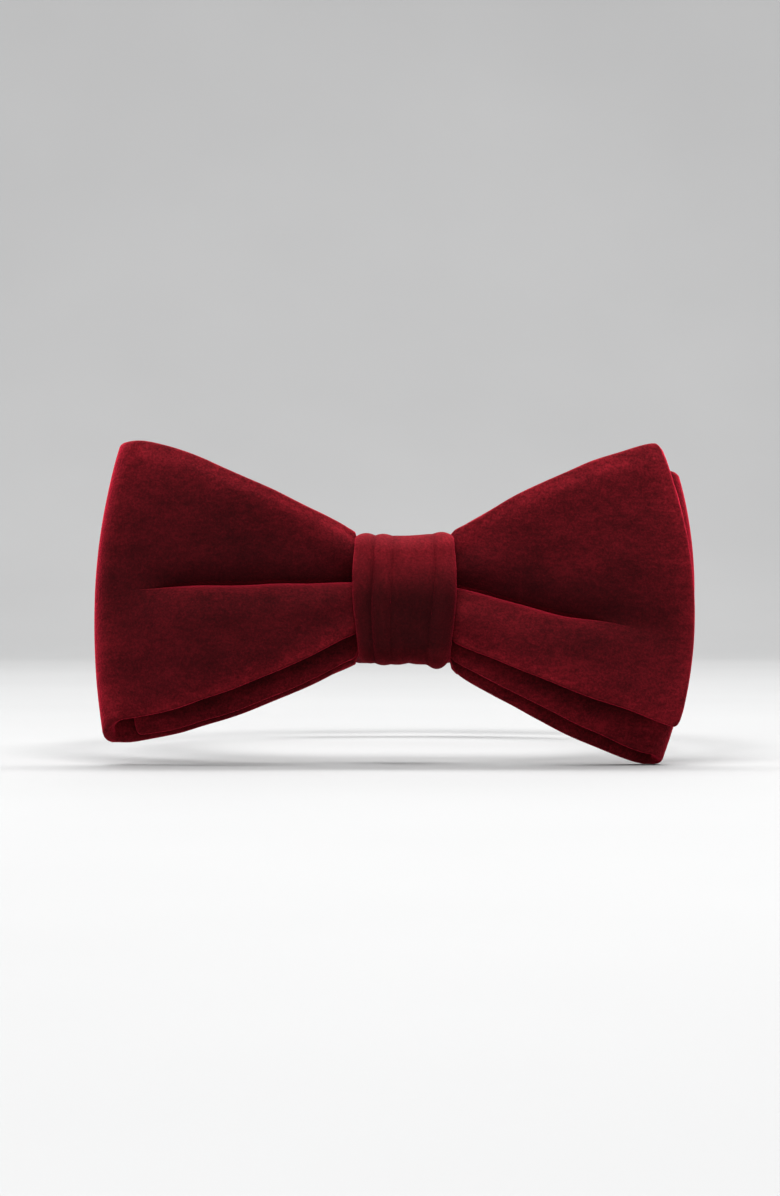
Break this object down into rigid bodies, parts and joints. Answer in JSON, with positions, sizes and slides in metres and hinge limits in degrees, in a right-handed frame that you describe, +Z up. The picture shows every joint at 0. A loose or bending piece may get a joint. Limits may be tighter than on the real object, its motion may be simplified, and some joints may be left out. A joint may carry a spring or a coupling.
{
  "type": "bow tie",
  "caption": "Pre-tied velvet bow tie with a wrapped knot, layered wings and an adjustable neck band closed by a hook and eye.",
  "frame": {"origin": "centre of the neck ring at half the height of the band", "axes": "+Z up along the neck, the bow faces -Y, the clasp is at +Y, +X to the right seen from the front"},
  "size_m": [0.1276, 0.1418, 0.0646],
  "materials": {
    "velvet": "crimson cotton velvet with a short dense pile",
    "interlining": "undyed woven canvas",
    "strap_satin": "crimson satin weave, soft sheen",
    "thread": "twisted polyester sewing thread",
    "label_cloth": "plain woven tape",
    "nickel": "polished nickel plate"
  },
  "bodies": {
    "band_front": {"band_front_shell": "strap_satin", "band_front_interlining": "interlining", "blank_label": "label_cloth"},
    "knot": {"knot_wrap_shell": "velvet", "knot_wrap_interlining": "interlining", "knot_back_stitch": "thread", "waist_binding_thread": "thread", "front_blade_waist": "velvet", "rear_blade_waist": "velvet", "front_blade_return_end": "velvet", "rear_blade_return_end": "velvet"},
    "left_wing": {"front_blade_loop_shell": "velvet", "front_blade_loop_interlining": "interlining", "rear_blade_end_shell": "velvet", "rear_blade_end_interlining": "interlining"},
    "right_wing": {"front_blade_end_shell": "velvet", "front_blade_end_interlining": "interlining", "rear_blade_loop_shell": "velvet", "rear_blade_loop_interlining": "interlining"},
    "strap_left": {"strap_left_shell": "strap_satin", "strap_left_interlining": "interlining", "hook_bartack": "thread"},
    "hook": {"hook": "nickel"},
    "strap_right": {"strap_right_shell": "strap_satin", "strap_right_interlining": "interlining", "size_feed_strap": "strap_satin"},
    "eye_end": {"eye_loop_strap": "strap_satin", "size_run_strap": "strap_satin"},
    "eye": {"eye": "nickel"},
    "slider": {"slider_frame": "nickel", "slider_loop_strap": "strap_satin", "slider_bartack": "thread"}
  },
  "joints": [
    {"name": "bow_centering", "type": "slide", "parent": "band_front", "child": "knot", "axis": [1, 0, 0], "range_m": [-0.008, 0.008]},
    {"name": "left_wing_flex", "type": "hinge", "parent": "knot", "child": "left_wing", "pos_m": [-0.0104, -0.0681, 0], "axis": [0, 0, 1], "range_deg": [-8, 8], "stiffness_Nm_per_rad": 0.02},
    {"name": "right_wing_flex", "type": "hinge", "parent": "knot", "child": "right_wing", "pos_m": [0.0104, -0.0681, 0], "axis": [0, 0, 1], "range_deg": [-8, 8], "stiffness_Nm_per_rad": 0.02},
    {"name": "band_open", "type": "hinge", "parent": "band_front", "child": "strap_left", "pos_m": [-0.0627, 0, 0], "axis": [0, 0, 1], "range_deg": [0, 60]},
    {"name": "band_open_right", "type": "hinge", "parent": "band_front", "child": "strap_right", "pos_m": [0.0627, 0, 0], "axis": [0, 0, 1], "range_deg": [-60, 0]},
    {"name": "hook_pivot", "type": "hinge", "parent": "strap_left", "child": "hook", "pos_m": [-0.0095, 0.0601, 0], "axis": [0, 0, 1], "range_deg": [-12, 80]},
    {"name": "size_feed", "type": "hinge", "parent": "strap_right", "child": "eye_end", "pos_m": [0, 0, 0], "axis": [0, 0, -1], "range_deg": [0, 24], "deforming": ["size_feed_strap", "size_run_strap"]},
    {"name": "slider_travel", "type": "hinge", "parent": "eye_end", "child": "slider", "pos_m": [0, 0, 0], "axis": [0, 0, -1], "range_deg": [0, 24]},
    {"name": "eye_pivot", "type": "hinge", "parent": "eye_end", "child": "eye", "pos_m": [0.0085, 0.0601, 0], "axis": [0, 0, 1], "range_deg": [0, 45]}
  ],
  "couplings": [
    {"joint": "band_open_right", "follows": "band_open", "ratio": -1},
    {"joint": "slider_travel", "follows": "size_feed", "ratio": 1}
  ]
}
